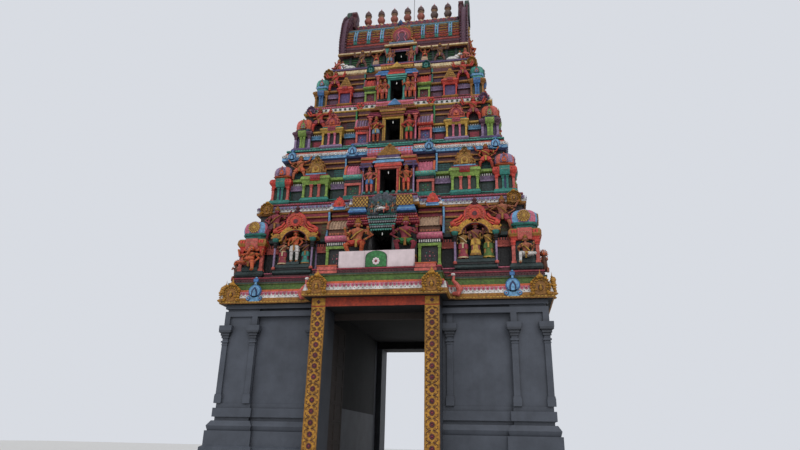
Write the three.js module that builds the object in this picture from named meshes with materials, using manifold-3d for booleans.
// Gopuram: the gateway tower of a South Indian temple, with a gate passage through its base storey,
// four diminishing tiers of shrines above it, a neck, and a barrel roof with seven finials.
// Millimetres, +Z up, front towards -Y. The origin is on the ground in the middle of the passage.
import * as THREE from 'three';
import { mergeVertices } from 'three/addons/utils/BufferGeometryUtils.js';
import Module from 'manifold-3d';

const wasm = await Module();
wasm.setup();

// Driving dimensions of the gate passage. The clear width is ten feet.
const GATE_HALF = 1520;
const GATE_HEAD = 5260;
const PASSAGE_HALF = 1720;
const JAMB_OUTER = 1960;
const JAMB_FACE = 4830;
const JAMB_BACK = 3790;

// Driving dimensions of the base storey
const PLINTH_TOP = 2470;
const BASE_TOP = 5540;
const BASE_WALL_THICK = 700;
const CORNER_X = 5060;
const CORNER_Y = 4040;
const RECESS_DEPTH = 100;
const CORNER_BAY = 1080;

// Pilasters of the base storey: distance from the middle, sizes and levels
const GATE_PILASTER_X = 2170;
const BAY_PILASTER_X = 4090;
const END_PILASTER_X = 5030;
const PILASTER_OUT = 60;
const PILASTER_WIDTH = 180;
const PILASTER_FOOT_OUT = 80;
const PILASTER_FOOT_WIDTH = 240;
const PILASTER_FOOT_TOP = 2690;
const CAPITAL_OUT = 150;
const CAPITAL_WIDTH = 420;
const CAPITAL_BOTTOM = 4700;
const CAPITAL_TOP = 4860;
const BEAM_BOTTOM = 5150;
const BEAM_TOP = 5320;

// Driving dimensions of the door leaves, which stand open along the passage walls
const LEAF_THICK = 90;
const LEAF_LENGTH = 1640;
const LEAF_BOTTOM = 160;
const LEAF_TOP = 5000;
const HINGE_X = 1645;
const HINGE_Y = -3715;
const PIVOT_RADIUS = 35;
const PIN_SIDES = 12;
const SEAT_GAP = 0.3;
const PIVOT_STONE = 150;
const PIVOT_STONE_TOP = 100;
const HEAD_BEAM_BOTTOM = 5060;

// The plinth's mouldings, from the ground up: height, and how far each stands out from the wall plane
const PLINTH_PROFILE = [
  [0, 290], [1200, 290], [1250, 210], [1670, 210], [1670, 150], [1810, 190], [1960, 90],
  [1960, 20], [2070, 20], [2070, 90], [2330, 90], [2330, 20], [PLINTH_TOP, 20],
];

// The cornice over the gate storey: height above its underside, and overhang from the wall plane
const BASE_CORNICE_PROFILE = [
  [0, 240], [170, 250], [390, 190], [430, 120], [680, 90], [700, 20], [910, 20],
];
const BASE_CORNICE_CENTRE = [1980, 4850];
const BASE_CORNICE_BAY = [2150, 4100];

// The name board over the gate
const BOARD_HALF = 1200;
const BOARD_THICK = 60;
const BOARD_HEIGHT = 560;

// The tiers, from the lowest up. Levels are heights above the tier's own floor.
// wall is half the wall's width and depth, face is how far the corner shrines stand out from the centre,
// corner, niche and side are the bays' inner and outer edges along the front, and porch is half its width.
// crown is the share of the top cornice's height up to which its middle stands out.
const TIERS = [
  {
    name: 'tier_1', floor: 6450, height: 2400, wall: [4560, 3450], thick: 500, face: 3880,
    corner: [4140, 4990], niche: [2340, 3700], side: [1180, 1910], porch: 1150,
    pedestal: 290, post: 1040, cornice: 1420, drum: 1660, dome: 2230, arch: 2280, tip: 2590,
    sideRoof: 2070, door: [330, 150, 1520], porchRoof: [1880, 2080],
    top: { height: 450, half: [4690, 3580], centre: [1200, 3990], bay: [1950, 3700], crown: 1 },
  },
  {
    name: 'tier_2', floor: 9300, height: 1900, wall: [4050, 2870], thick: 450, face: 3200,
    corner: [3720, 4380], niche: [2220, 3160], side: [1000, 1610], porch: 980,
    pedestal: 290, post: 790, cornice: 1120, drum: 1290, dome: 1790, arch: 1780, tip: 2040,
    sideRoof: 1610, door: [300, 220, 1210], porchRoof: [1440, 1620],
    top: { height: 550, half: [4190, 3010], centre: [850, 3260], bay: [1660, 3120], crown: 0.5 },
  },
  {
    name: 'tier_3', floor: 11750, height: 1800, wall: [3600, 2310], thick: 400, face: 2620,
    corner: [3290, 3920], niche: [2000, 2770], side: [960, 1460], porch: 940,
    pedestal: 240, post: 740, cornice: 960, drum: 1090, dome: 1690, arch: 1570, tip: 1750,
    sideRoof: 1410, door: [285, 70, 1140], porchRoof: [1270, 1510],
    top: { height: 380, half: [3720, 2420], centre: [780, 2580], bay: [1500, 2480], crown: 0.75 },
  },
  {
    name: 'tier_4', floor: 13930, height: 1670, wall: [3160, 1840], thick: 350, face: 2090,
    corner: [2910, 3420], niche: [1860, 2380], side: [850, 1320], porch: 830,
    pedestal: 200, post: 690, cornice: 920, drum: 1060, dome: 1640, arch: 1440, tip: 1500,
    sideRoof: 1360, door: [250, 80, 1050], porchRoof: [1290, 1540],
    top: { height: 500, half: [3200, 1870], centre: [660, 2250], bay: [1330, 1980], crown: 0.2 },
  },
];
const ARCH_DEPTH = 150;
const CORNICE_OUT = 90;
const PEDESTAL_OUT = 50;
const PEDESTAL_GAP = 90;
const COURSE_BACK = 40;

// How far each bay stands out beyond the corner shrines, and how far it reaches into the wall behind it
const NICHE_OUT = 120;
const SIDE_OUT = 50;
const PORCH_OUT = 210;
const BITE = 50;

// Bays on a tier's side walls: shares of the free half width between the corner shrines
const SIDE_MIDDLE = 0.26;
const SIDE_NICHE = [0.46, 0.84];

// The porch of a tier
const PORCH_POST = 110;
const PORCH_ROOF_OUT = 60;
const PORCH_UPPER_SHARE = 0.62;
const PORCH_UPPER_HEIGHT = 120;
const DOOR_FRAME = 120;
const DOOR_SET_BACK = 20;

// Two small pavilions and an arch between them, over the lowest porch: half width, foot and top
const GROUP_BASE = [1130, 2080, 2250];
const GROUP_PAVILION = [500, 1000, 2250, 2650];
const GROUP_ARCH = [500, 2250, 2700, 2760];
const GROUP_FACE = 4300;
const GROUP_BACK = 4020;

// Dome of a corner shrine: radius as a share of the shrine's width, and outline as shares of radius and rise
const DOME_SHARE = 0.52;
const DOME_PROFILE = [[0, 0], [0.96, 0], [1, 0.35], [0.7, 0.78], [0, 1]];
const ROUND_SIDES = 8;

// Horseshoe arch: half widths at the foot, bulge, shoulder and neck as shares of its half width
const ARCH_FOOT = 0.9;
const ARCH_BULGE = 1.25;
const ARCH_SHOULDER = 0.6;
const ARCH_NECK = 0.2;
const ARCH_TIP_HALF = 40;
const ARCH_SHARE = 0.92;
const SADDLE_SHARE = 0.4;

// A tier's cornice: share of its height, and overhang from its nominal edge
const CROWN_STEP = 5;
const CORNICE_STEPS = [[0, -60], [0.14, 0], [0.45, -20], [0.75, -90], [0.8, -150], [1, -150]];

// Driving dimensions of the neck, roof and finials
const NECK_FLOOR = 16100;
const EAVE_BOTTOM = 17120;
const EAVE_TOP = 17300;
const NECK_HALF = [2650, 1080];
const NECK_THICK = 220;
const NECK_DOOR = [270, 80, 840];
const NECK_FRAME = 120;
const NECK_PORCH = 640;
const NECK_PORCH_OUT = 370;
const NECK_POST = 100;
const EAVE_HALF = [2830, 1320];
const EAVE_BAY = [800, 1380];
const EAVE_PORCH = [700, 1640];
const EAVE_STEPS = [[0, -40], [60, 0], [130, -10], [180, -70]];
const ROOF_LENGTH_HALF = 2480;
const ROOF_HALF_DEPTH = 1200;
const ROOF_TOP = 19400;
const ROOF_SHELL = 200;
const RIDGE_TOP = 19620;
const RIDGE_HALF_WIDTH = 120;
const GABLE_THICK = 330;
const GABLE_OUTLINE = [
  [1300, 17300], [1320, 17900], [1220, 18400], [1100, 18930], [900, 19380], [550, 19810], [180, 19930],
];
const CREST_TOP = 20500;
const INNER_CREST = [2380, 2600];
const OUTER_CREST = [2660, 2860];
const CREST_HALF = 420;
const CREST_BOTTOM = 19300;
const CREST_WAIST = [300, 20200];
const ROOF_ARCH_HALF = 430;
const ROOF_ARCH_FACE = 1360;
const ROOF_ARCH_BACK = 600;
const ROOF_ARCH_TOP = 18430;
const ROOF_ARCH_TIP = 18750;
const ROOF_ARCH_BASE = [510, 1440, 17560];
const ROOF_SIDE_STEPS = 7;
const ROOF_CONTROLS = [[1.25, 0.57], [0.625, 0.714]];
const ARCH_STEPS = 3;
const FINIAL_SPACING = 625;
const FINIAL_COUNT = 7;
const FINIAL_PROFILE = [[0, 0], [110, 0], [80, 110], [175, 280], [150, 420], [60, 500], [140, 580], [110, 760], [0, 980]];
const ROD_HEIGHT = 1980;
const ROD_RADIUS = 16;

const colours = {
  plinth: 0x5a6470, wall: 0x6b7683, jamb: 0xc8903a, lintel: 0xc4601f, wood: 0x3a2a20, board: 0x2e5a48,
  cornice: 0x7fa3a8, shrine: 0xb8574a, neck: 0x2e5236, roof: 0x7a3038, gable: 0x6a3a58,
  copper: 0x9a5a34, steel: 0x8a8d90,
};
const materials = Object.fromEntries(Object.entries(colours).map(([name, colour]) => [
  name,
  new THREE.MeshStandardMaterial({ color: colour, roughness: 0.75, metalness: name === 'copper' ? 0.6 : 0 }),
]));

// Turns a closed geometry into a solid that can be joined and cut
function solid(geometry) {
  const bare = geometry.index ? geometry.toNonIndexed() : geometry.clone();
  bare.deleteAttribute('normal');
  bare.deleteAttribute('uv');
  const merged = mergeVertices(bare, 0.01);
  return new wasm.Manifold(new wasm.Mesh({
    numProp: 3,
    vertProperties: new Float32Array(merged.attributes.position.array),
    triVerts: new Uint32Array(merged.index.array),
  }));
}

function join(...parts) {
  return parts.flat().reduce((whole, part) => whole.add(part));
}

function cut(whole, ...parts) {
  return parts.flat().reduce((rest, part) => rest.subtract(part), whole);
}

// A named piece made from a solid
function piece(name, shape, material) {
  const { vertProperties, triVerts } = shape.getMesh();
  const geometry = new THREE.BufferGeometry();
  geometry.setAttribute('position', new THREE.BufferAttribute(vertProperties, 3));
  geometry.setIndex(new THREE.BufferAttribute(triVerts, 1));
  const flat = geometry.toNonIndexed();
  flat.computeVertexNormals();
  const mesh = new THREE.Mesh(flat, material);
  mesh.name = name;
  return mesh;
}

// A box between two corners
function block(x0, x1, y0, y1, z0, z1) {
  const geometry = new THREE.BoxGeometry(x1 - x0, y1 - y0, z1 - z0);
  geometry.translate((x0 + x1) / 2, (y0 + y1) / 2, (z0 + z1) / 2);
  return solid(geometry);
}

// A stack of outlines, one at each height, joined by flat bands and closed at both ends
function stack(outlines, heights) {
  const count = outlines[0].length;
  const positions = outlines.flatMap((ring, level) => ring.flatMap(([x, y]) => [x, y, heights[level]]));
  const faces = [];
  for (let level = 0; level + 1 < outlines.length; level += 1) {
    for (let i = 0; i < count; i += 1) {
      const a = level * count + i;
      const b = level * count + ((i + 1) % count);
      faces.push(a, b, b + count, a, b + count, a + count);
    }
  }
  const caps = (ring) => THREE.ShapeUtils.triangulateShape(ring.map(([x, y]) => new THREE.Vector2(x, y)), []);
  const top = (outlines.length - 1) * count;
  caps(outlines[0]).forEach(([a, b, c]) => faces.push(a, c, b));
  caps(outlines[outlines.length - 1]).forEach(([a, b, c]) => faces.push(top + a, top + b, top + c));
  const geometry = new THREE.BufferGeometry();
  geometry.setAttribute('position', new THREE.Float32BufferAttribute(positions, 3));
  geometry.setIndex(faces);
  return solid(geometry);
}

// A plate with the given outline in X and Z, between two Y planes
function plate(shape, y0, y1) {
  const sweep = { depth: y1 - y0, bevelEnabled: false, curveSegments: ARCH_STEPS };
  const geometry = new THREE.ExtrudeGeometry(shape, sweep);
  geometry.rotateX(Math.PI / 2);
  geometry.translate(0, y1, 0);
  return solid(geometry);
}

// Mirrors an outline in X and keeps it running anticlockwise
function mirrored(outline) {
  return outline.map(([x, y]) => [-x, y]).reverse();
}

// Plan of one half of the plinth: corner bays stand out from the recesses between them
function plinthPlan(out) {
  const recess = CORNER_Y - RECESS_DEPTH + out;
  const face = CORNER_Y + out;
  const end = CORNER_X + out;
  const bay = CORNER_X - CORNER_BAY - out;
  const sideBay = CORNER_Y - CORNER_BAY - out;
  const sideRecess = end - RECESS_DEPTH;
  return [
    [JAMB_OUTER, -recess], [bay, -recess], [bay, -face], [end, -face],
    [end, -sideBay], [sideRecess, -sideBay], [sideRecess, sideBay], [end, sideBay],
    [end, face], [bay, face], [bay, recess], [JAMB_OUTER, recess],
    [JAMB_OUTER, JAMB_BACK], [PASSAGE_HALF, JAMB_BACK], [PASSAGE_HALF, -JAMB_BACK], [JAMB_OUTER, -JAMB_BACK],
  ];
}

// Plan of a cornice that steps out twice towards the middle of the front and back
function cornicePlan(half, bay, centre, out) {
  const [endX, endY] = [half[0] + out, half[1] + out];
  const quarter = [
    [centre[0] + out, centre[1] + out], [centre[0] + out, bay[1] + out],
    [bay[0] + out, bay[1] + out], [bay[0] + out, endY], [endX, endY],
  ];
  const right = quarter.map(([x, y]) => [x, -y]).concat([...quarter].reverse());
  return right.concat(right.map(([x, y]) => [-x, -y]));
}

const tower = new THREE.Group();

// Plinths, each a mass of masonry beside the passage
function addPlinths() {
  const heights = PLINTH_PROFILE.map(([height]) => height);
  const right = PLINTH_PROFILE.map(([, out]) => plinthPlan(out));
  tower.add(piece('plinth_right', stack(right, heights), materials.plinth));
  tower.add(piece('plinth_left', stack(right.map(mirrored), heights), materials.plinth));
}

// A pilaster with a foot and a capital, standing out from a wall plane that faces -Y
function pilaster(x, face) {
  const part = (width, out, z0, z1) => block(x - width / 2, x + width / 2, -face - out, -face + BITE, z0, z1);
  return [
    part(PILASTER_FOOT_WIDTH, PILASTER_FOOT_OUT, PLINTH_TOP, PILASTER_FOOT_TOP),
    part(PILASTER_WIDTH, PILASTER_OUT, PILASTER_FOOT_TOP, BEAM_BOTTOM),
    part(CAPITAL_WIDTH, CAPITAL_OUT, CAPITAL_BOTTOM, CAPITAL_TOP),
  ];
}

// Walls of the base storey: front, back, side and passage walls round a room on each side of the gate
function addBaseWalls() {
  const roomY = CORNER_Y - BASE_WALL_THICK;
  const recessY = CORNER_Y - RECESS_DEPTH;
  const bayX = CORNER_X - CORNER_BAY;
  const frontWall = join(
    block(JAMB_OUTER, CORNER_X, -recessY, -JAMB_BACK, PLINTH_TOP, BASE_TOP),
    block(PASSAGE_HALF, CORNER_X, -JAMB_BACK, -roomY, PLINTH_TOP, BASE_TOP),
    block(bayX, CORNER_X, -CORNER_Y, -roomY, PLINTH_TOP, BASE_TOP),
    block(JAMB_OUTER, CORNER_X + PILASTER_OUT, -CORNER_Y - PILASTER_OUT, -roomY, BEAM_BOTTOM, BEAM_TOP),
    pilaster(GATE_PILASTER_X, recessY),
    pilaster(BAY_PILASTER_X, CORNER_Y),
    pilaster(END_PILASTER_X, CORNER_Y),
  );
  const mirrorX = (shape) => shape.mirror([1, 0, 0]);
  const mirrorY = (shape) => shape.mirror([0, 1, 0]);
  tower.add(piece('front_wall_right', frontWall, materials.wall));
  tower.add(piece('front_wall_left', mirrorX(frontWall), materials.wall));
  tower.add(piece('back_wall_right', mirrorY(frontWall), materials.wall));
  tower.add(piece('back_wall_left', mirrorX(mirrorY(frontWall)), materials.wall));
  const innerX = CORNER_X - BASE_WALL_THICK;
  const sideRecess = CORNER_X - RECESS_DEPTH;
  const sideBay = CORNER_Y - CORNER_BAY;
  const sideWall = join(
    block(innerX, sideRecess, -roomY, roomY, PLINTH_TOP, BASE_TOP),
    block(innerX, CORNER_X, -roomY, -sideBay, PLINTH_TOP, BASE_TOP),
    block(innerX, CORNER_X, sideBay, roomY, PLINTH_TOP, BASE_TOP),
  );
  tower.add(piece('side_wall_right', sideWall, materials.wall));
  tower.add(piece('side_wall_left', mirrorX(sideWall), materials.wall));
  const passageInner = PASSAGE_HALF + BASE_WALL_THICK;
  const passageWall = block(PASSAGE_HALF, passageInner, -roomY, roomY, PLINTH_TOP, BASE_TOP);
  tower.add(piece('passage_wall_right', passageWall, materials.wall));
  tower.add(piece('passage_wall_left', mirrorX(passageWall), materials.wall));
}

// Stone posts and lintels of the gate, front and back
function addGateFrames() {
  for (const [side, y0, y1] of [['front', -JAMB_FACE, -JAMB_BACK], ['back', JAMB_BACK, JAMB_FACE]]) {
    const jamb = block(GATE_HALF, JAMB_OUTER, y0, y1, 0, GATE_HEAD);
    tower.add(piece(`${side}_gate_post_right`, jamb, materials.jamb));
    tower.add(piece(`${side}_gate_post_left`, jamb.mirror([1, 0, 0]), materials.jamb));
    const lintel = block(-JAMB_OUTER, JAMB_OUTER, y0, y1, GATE_HEAD, BASE_TOP);
    tower.add(piece(`${side}_gate_lintel`, lintel, materials.lintel));
  }
}

// Door leaves on pins that stand on pivot stones, under a beam behind the lintel
function addDoors() {
  for (const [side, sign] of [['left', -1], ['right', 1]]) {
    const flip = (shape) => (sign < 0 ? shape.mirror([1, 0, 0]) : shape);
    const panel = block(-LEAF_THICK / 2, LEAF_THICK / 2, -LEAF_THICK / 2, LEAF_LENGTH, LEAF_BOTTOM, LEAF_TOP);
    const pinBottom = PIVOT_STONE_TOP + SEAT_GAP;
    const pinTop = HEAD_BEAM_BOTTOM - SEAT_GAP;
    const pin = new THREE.CylinderGeometry(PIVOT_RADIUS, PIVOT_RADIUS, pinTop - pinBottom, PIN_SIDES);
    pin.rotateX(Math.PI / 2);
    pin.translate(0, 0, (pinTop + pinBottom) / 2);
    const leaf = piece(`door_leaf_${side}`, join(panel, solid(pin)), materials.wood);
    leaf.position.set(sign * HINGE_X, HINGE_Y, 0);
    tower.add(leaf);
    const stone = block(
      PASSAGE_HALF - PIVOT_STONE, PASSAGE_HALF, -JAMB_BACK, -JAMB_BACK + PIVOT_STONE, 0, PIVOT_STONE_TOP,
    );
    tower.add(piece(`pivot_stone_${side}`, flip(stone), materials.plinth));
  }
  const beam = block(
    -PASSAGE_HALF, PASSAGE_HALF, -JAMB_BACK, -JAMB_BACK + PIVOT_STONE, HEAD_BEAM_BOTTOM, BASE_TOP,
  );
  tower.add(piece('door_head_beam', beam, materials.wood));
}

// The slab over the gate storey, with its roll-edged cornice, and the name board standing on it
function addBaseCornice() {
  const half = [CORNER_X, CORNER_Y];
  const plan = (out) => cornicePlan(half, BASE_CORNICE_BAY, BASE_CORNICE_CENTRE, out);
  const plans = BASE_CORNICE_PROFILE.map(([, out]) => plan(out));
  const heights = BASE_CORNICE_PROFILE.map(([height]) => BASE_TOP + height);
  tower.add(piece('base_cornice', stack(plans, heights), materials.cornice));
  const foot = TIERS[0].floor;
  const face = -BASE_CORNICE_CENTRE[1];
  const board = block(-BOARD_HALF, BOARD_HALF, face, face + BOARD_THICK, foot, foot + BOARD_HEIGHT);
  tower.add(piece('name_board', board, materials.board));
}

// A bay that stands on a pedestal and ends in a small cornice, in front of the wall plane
function bayBody(tier, x0, x1, face) {
  const part = (grow, z0, z1) => block(x0 - grow, x1 + grow, -face - grow, -tier.wallFace + BITE, z0, z1);
  return [
    part(PEDESTAL_OUT, 0, tier.pedestal),
    part(0, tier.pedestal, tier.post),
    part(CORNICE_OUT, tier.post, tier.cornice),
  ];
}

// A square shrine on the tower's corner, under a dome
function cornerShrine(tier, sign) {
  const [inner, outer] = tier.corner;
  const size = outer - inner;
  const centreX = (inner + outer) / 2;
  const centreY = -tier.face + size / 2;
  const part = (grow, z0, z1) => block(
    centreX - size / 2 - grow, centreX + size / 2 + grow,
    centreY - size / 2 - grow, centreY + size / 2 + grow, z0, z1,
  );
  const radius = size * DOME_SHARE;
  const rise = tier.dome - tier.drum;
  const profile = DOME_PROFILE.map(([r, z]) => new THREE.Vector2(r * radius, z * rise));
  const dome = new THREE.LatheGeometry(profile, ROUND_SIDES);
  dome.rotateX(Math.PI / 2);
  dome.translate(centreX, centreY, tier.drum);
  const shrine = join(
    part(PEDESTAL_OUT, 0, tier.pedestal), part(0, tier.pedestal, tier.post),
    part(CORNICE_OUT, tier.post, tier.cornice), part(0, tier.cornice, tier.drum), solid(dome),
  );
  return sign < 0 ? shrine.mirror([1, 0, 0]) : shrine;
}

// Outline of a horseshoe arch: it swells above its foot, draws in at the shoulder and runs up to a tip
function horseshoe(centre, half, foot, top, tip) {
  const rise = top - foot;
  const bulge = foot + rise * 0.55;
  const shoulder = top - rise * 0.12;
  const shape = new THREE.Shape();
  shape.moveTo(centre - half * ARCH_FOOT, foot);
  shape.lineTo(centre + half * ARCH_FOOT, foot);
  shape.quadraticCurveTo(centre + half * ARCH_BULGE, bulge, centre + half * ARCH_SHOULDER, shoulder);
  shape.quadraticCurveTo(centre + half * ARCH_NECK, top, centre + ARCH_TIP_HALF, tip);
  shape.lineTo(centre - ARCH_TIP_HALF, tip);
  shape.quadraticCurveTo(centre - half * ARCH_NECK, top, centre - half * ARCH_SHOULDER, shoulder);
  shape.quadraticCurveTo(centre - half * ARCH_BULGE, bulge, centre - half * ARCH_FOOT, foot);
  return shape;
}

// A niche bay under a horseshoe arch with a low roof behind it
function nicheBay(tier, x0, x1, face) {
  const arch = horseshoe((x0 + x1) / 2, (x1 - x0) / 2 * ARCH_SHARE, tier.cornice, tier.arch, tier.tip);
  const saddleTop = tier.cornice + (tier.arch - tier.cornice) * SADDLE_SHARE;
  const archBack = -face + ARCH_DEPTH;
  const wall = -tier.wallFace + BITE;
  return [
    ...bayBody(tier, x0, x1, face),
    plate(arch, -face, archBack),
    block(x0, x1, archBack, wall, tier.cornice, saddleTop),
  ];
}

// A bay under a small barrel roof that runs along the wall
function barrelBay(tier, x0, x1, face, roofTop) {
  const depth = face - tier.wallFace + BITE;
  const rise = roofTop - tier.cornice;
  const profile = new THREE.Shape();
  profile.moveTo(0, 0);
  profile.lineTo(0, rise);
  profile.quadraticCurveTo(depth * 0.95, rise, depth, 0);
  const sweep = { depth: x1 - x0, bevelEnabled: false, curveSegments: ARCH_STEPS };
  const roof = new THREE.ExtrudeGeometry(profile, sweep);
  roof.rotateX(Math.PI / 2);
  roof.rotateZ(-Math.PI / 2);
  roof.translate(x1, -tier.wallFace + BITE, tier.cornice);
  return [...bayBody(tier, x0, x1, face), solid(roof)];
}

// The porch in the middle of a tier: a floor, two posts, a door frame and a stepped roof
function porch(tier, face) {
  const [doorHalf, sill, head] = tier.door;
  const back = -tier.wallFace + BITE;
  const [roofBottom, roofTop] = tier.porchRoof;
  const post = (sign) => {
    const centre = sign * (tier.porch - PORCH_POST / 2);
    return block(centre - PORCH_POST / 2, centre + PORCH_POST / 2, -face, -face + PORCH_POST, 0, roofBottom);
  };
  const frameHalf = doorHalf + DOOR_FRAME;
  const roofHalf = tier.porch + PORCH_ROOF_OUT;
  const upperHalf = tier.porch * PORCH_UPPER_SHARE;
  return [
    block(-tier.porch, tier.porch, -face, back, 0, sill),
    post(-1),
    post(1),
    block(-frameHalf, frameHalf, -face + DOOR_SET_BACK, back, sill, head + DOOR_FRAME),
    block(-roofHalf, roofHalf, -face - PORCH_ROOF_OUT, back, roofBottom, roofTop),
    block(-upperHalf, upperHalf, -face + PORCH_ROOF_OUT, back, roofTop, roofTop + PORCH_UPPER_HEIGHT),
  ];
}

// The group over the lowest porch stands clear of the cornice behind it
function porchGroup() {
  const [baseHalf, foot, baseTop] = GROUP_BASE;
  const [inner, outer, low, top] = GROUP_PAVILION;
  const [archHalf, ...archLevels] = GROUP_ARCH;
  return [
    block(-baseHalf, baseHalf, -GROUP_FACE, -GROUP_BACK, foot - BITE, baseTop),
    block(-outer, -inner, -GROUP_FACE, -GROUP_BACK, low, top),
    block(inner, outer, -GROUP_FACE, -GROUP_BACK, low, top),
    plate(horseshoe(0, archHalf, ...archLevels), -GROUP_FACE, -GROUP_BACK),
  ];
}

// Front wall of a tier: the wall itself, its bays and porch, and the opening cut through them
function tierFront(tier) {
  const [wallX, wallY] = tier.wall;
  const faced = { ...tier, wallFace: wallY };
  const inside = -wallY + tier.thick;
  const [doorHalf, sill, head] = tier.door;
  const opening = block(-doorHalf, doorHalf, -tier.face - tier.height, inside + BITE, sill, head);
  const courseFace = -tier.face + COURSE_BACK;
  const pair = ([x0, x1], bay) => [...bay(x0, x1), ...bay(-x1, -x0)];
  const whole = join(
    block(-wallX, wallX, -wallY, inside, 0, tier.height),
    block(-tier.corner[0], tier.corner[0], courseFace, -wallY + BITE, 0, tier.pedestal / 2),
    cornerShrine(tier, 1), cornerShrine(tier, -1),
    pair(tier.niche, (x0, x1) => nicheBay(faced, x0, x1, tier.face + NICHE_OUT)),
    pair(tier.side, (x0, x1) => barrelBay(faced, x0, x1, tier.face + SIDE_OUT, tier.sideRoof)),
    porch(faced, tier.face + PORCH_OUT),
    tier === TIERS[0] ? porchGroup() : [],
  );
  const behind = block(-tier.corner[1] * 2, tier.corner[1] * 2, inside, 0, -BITE, tier.height * 2);
  return cut(whole, opening, behind);
}

// Side wall of a tier, facing -Y here, with a barrel-roofed bay between two niches
function tierSide(tier) {
  const [wallX, wallY] = tier.wall;
  const faced = { ...tier, wallFace: wallX };
  const half = wallY - tier.thick;
  const [cornerInner, face] = tier.corner;
  const free = tier.face - (face - cornerInner) - CORNICE_OUT - PEDESTAL_GAP;
  const share = (value) => Math.round(free * value);
  const [nicheInner, nicheOuter] = SIDE_NICHE.map(share);
  const middle = share(SIDE_MIDDLE);
  return join(
    block(-half, half, -wallX, -wallX + tier.thick, 0, tier.height),
    block(-half, half, -face + COURSE_BACK, -wallX + BITE, 0, tier.pedestal / 2),
    nicheBay(faced, nicheInner, nicheOuter, face),
    nicheBay(faced, -nicheOuter, -nicheInner, face),
    barrelBay(faced, -middle, middle, face + NICHE_OUT, tier.sideRoof),
  );
}

// Each tier: four walls round a room, and the cornice slab that is the next tier's floor
function addTiers() {
  for (const tier of TIERS) {
    const level = new THREE.Group();
    level.position.z = tier.floor;
    const front = tierFront(tier);
    const side = tierSide(tier);
    const sides = [['front', front], ['right', side], ['back', front], ['left', side]];
    sides.forEach(([where, shape], quarter) => {
      const wall = piece(`${tier.name}_${where}_wall`, shape, materials.shrine);
      wall.rotation.z = quarter * Math.PI / 2;
      level.add(wall);
    });
    const { height, half, centre, bay, crown } = tier.top;
    const middle = (share) => (share > crown ? [centre[0], bay[1] + CROWN_STEP] : centre);
    const plans = CORNICE_STEPS.map(([share, out]) => cornicePlan(half, bay, middle(share), out));
    const heights = CORNICE_STEPS.map(([share]) => tier.height + Math.round(height * share));
    level.add(piece(`${tier.name}_cornice`, stack(plans, heights), materials.cornice));
    tower.add(level);
  }
}

// Neck walls round the last room, with a small porch at the front and back, and the eave slab over them
function addNeck() {
  const [halfX, halfY] = NECK_HALF;
  const height = EAVE_BOTTOM - NECK_FLOOR;
  const [doorHalf, sill, head] = NECK_DOOR;
  const centred = (x, y, z0, z1) => block(-x, x, -y, y, z0, z1);
  const postOuter = [NECK_PORCH, halfY + NECK_PORCH_OUT];
  const frameHalf = doorHalf + NECK_FRAME;
  const posts = cut(
    centred(...postOuter, 0, height),
    centred(NECK_PORCH - NECK_POST, postOuter[1] + BITE, sill, height + BITE),
    centred(NECK_PORCH + BITE, postOuter[1] - NECK_POST, sill, height + BITE),
  );
  const walls = cut(
    join(centred(halfX, halfY, 0, height), posts, centred(frameHalf, postOuter[1], 0, head + NECK_FRAME)),
    centred(doorHalf, postOuter[1] + BITE, sill, head),
    centred(halfX - NECK_THICK, halfY - NECK_THICK, -BITE, height + BITE),
  );
  const neck = piece('neck_walls', walls, materials.neck);
  neck.position.z = NECK_FLOOR;
  tower.add(neck);
  const plans = EAVE_STEPS.map(([, out]) => cornicePlan(EAVE_HALF, EAVE_BAY, EAVE_PORCH, out));
  const eave = stack(plans, EAVE_STEPS.map(([level]) => EAVE_BOTTOM + level));
  tower.add(piece('roof_eave', eave, materials.cornice));
}

// Section of the barrel roof: upright at the eave, full at the shoulder and narrow at the ridge
function roofSection(out) {
  const rise = ROOF_TOP - EAVE_TOP + out;
  const half = ROOF_HALF_DEPTH + out;
  const top = Math.max(RIDGE_HALF_WIDTH + out, ARCH_TIP_HALF);
  const [bulge, shoulder] = ROOF_CONTROLS.map(([across, up]) => [half * across, rise * up]);
  const shape = new THREE.Shape();
  shape.moveTo(-half, 0);
  shape.lineTo(half, 0);
  shape.bezierCurveTo(...bulge, ...shoulder, top, rise);
  shape.lineTo(-top, rise);
  shape.bezierCurveTo(-shoulder[0], shoulder[1], -bulge[0], bulge[1], -half, 0);
  return shape;
}

// A section in Y and Z, with Z counted from the eave, swept along X
function along(shape, x0, x1) {
  const sweep = { depth: x1 - x0, bevelEnabled: false, curveSegments: ROOF_SIDE_STEPS };
  const geometry = new THREE.ExtrudeGeometry(shape, sweep);
  geometry.rotateX(Math.PI / 2);
  geometry.rotateZ(Math.PI / 2);
  geometry.translate(x0, 0, EAVE_TOP);
  return solid(geometry);
}

// The barrel roof is a hollow vault, with a ridge beam and an arch over each porch
function addBarrelRoof() {
  const vault = along(roofSection(0), -ROOF_LENGTH_HALF, ROOF_LENGTH_HALF);
  const inside = along(roofSection(-ROOF_SHELL), -ROOF_LENGTH_HALF - BITE, ROOF_LENGTH_HALF + BITE);
  const ridge = block(
    -ROOF_LENGTH_HALF, ROOF_LENGTH_HALF,
    -RIDGE_HALF_WIDTH, RIDGE_HALF_WIDTH,
    ROOF_TOP - ROOF_SHELL, RIDGE_TOP,
  );
  const arch = horseshoe(0, ROOF_ARCH_HALF, EAVE_TOP, ROOF_ARCH_TOP, ROOF_ARCH_TIP);
  const arches = [plate(arch, -ROOF_ARCH_FACE, -ROOF_ARCH_BACK), plate(arch, ROOF_ARCH_BACK, ROOF_ARCH_FACE)];
  const [baseHalf, baseFace, baseTop] = ROOF_ARCH_BASE;
  const bases = block(-baseHalf, baseHalf, -baseFace, baseFace, EAVE_TOP, baseTop);
  tower.add(piece('barrel_roof', cut(join(vault, ridge, arches, bases), inside), materials.roof));
}

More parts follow.
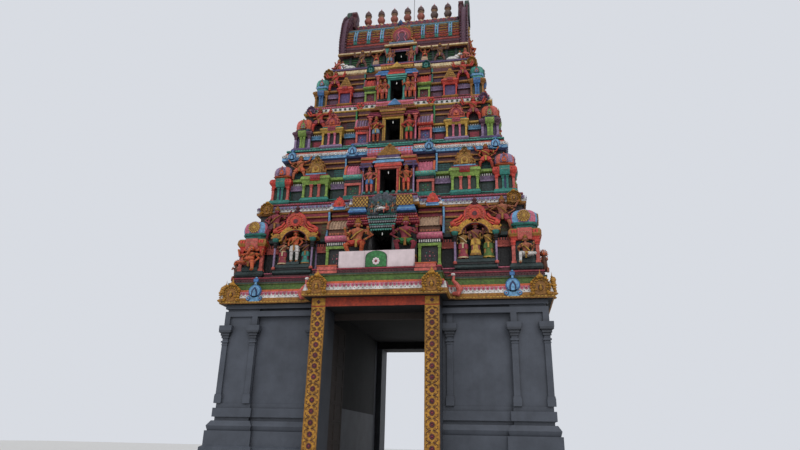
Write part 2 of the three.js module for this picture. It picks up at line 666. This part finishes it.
// A gable closes each end of the vault and ends in two thin crests, one behind the other
function addGables() {
  const crest = new THREE.Shape();
  const [waistX, waistZ] = [CREST_WAIST[0], CREST_WAIST[1] - EAVE_TOP];
  crest.moveTo(-CREST_HALF, CREST_BOTTOM - EAVE_TOP);
  crest.lineTo(CREST_HALF, CREST_BOTTOM - EAVE_TOP);
  crest.quadraticCurveTo(waistX, waistZ, ARCH_TIP_HALF, CREST_TOP - EAVE_TOP);
  crest.lineTo(-ARCH_TIP_HALF, CREST_TOP - EAVE_TOP);
  crest.quadraticCurveTo(-waistX, waistZ, -CREST_HALF, CREST_BOTTOM - EAVE_TOP);
  const outer = ROOF_LENGTH_HALF + GABLE_THICK;
  const rim = GABLE_OUTLINE.map(([y, z]) => [y, z - EAVE_TOP]);
  const end = new THREE.Shape([...rim, ...mirrored(rim)].map(([y, z]) => new THREE.Vector2(y, z)));
  const whole = join(along(end, ROOF_LENGTH_HALF, outer), along(crest, ...INNER_CREST), along(crest, ...OUTER_CREST));
  const ridgeEnd = block(0, ROOF_LENGTH_HALF, -CREST_HALF * 2, CREST_HALF * 2, CREST_BOTTOM - BITE, RIDGE_TOP + BITE);
  const gable = cut(whole, ridgeEnd);
  tower.add(piece('gable_right', gable, materials.gable));
  tower.add(piece('gable_left', gable.mirror([1, 0, 0]), materials.gable));
}

// Seven finials along the ridge, and the lightning rod between two of them
function addFinials() {
  const profile = FINIAL_PROFILE.map(([r, z]) => new THREE.Vector2(r, z));
  for (let i = 0; i < FINIAL_COUNT; i += 1) {
    const shape = new THREE.LatheGeometry(profile, ROUND_SIDES);
    shape.rotateX(Math.PI / 2);
    const finial = piece(`finial_${i + 1}`, solid(shape), materials.copper);
    finial.position.set((i - (FINIAL_COUNT - 1) / 2) * FINIAL_SPACING, 0, RIDGE_TOP);
    tower.add(finial);
  }
  const shaft = new THREE.CylinderGeometry(ROD_RADIUS, ROD_RADIUS, ROD_HEIGHT, ROUND_SIDES);
  shaft.rotateX(Math.PI / 2);
  shaft.translate(0, 0, ROD_HEIGHT / 2);
  const rod = piece('lightning_rod', solid(shaft), materials.steel);
  rod.position.set(FINIAL_SPACING / 2, 0, RIDGE_TOP);
  tower.add(rod);
}

addPlinths();
addBaseWalls();
addGateFrames();
addDoors();
addBaseCornice();
addTiers();
addNeck();
addBarrelRoof();
addGables();
addFinials();

export default tower;
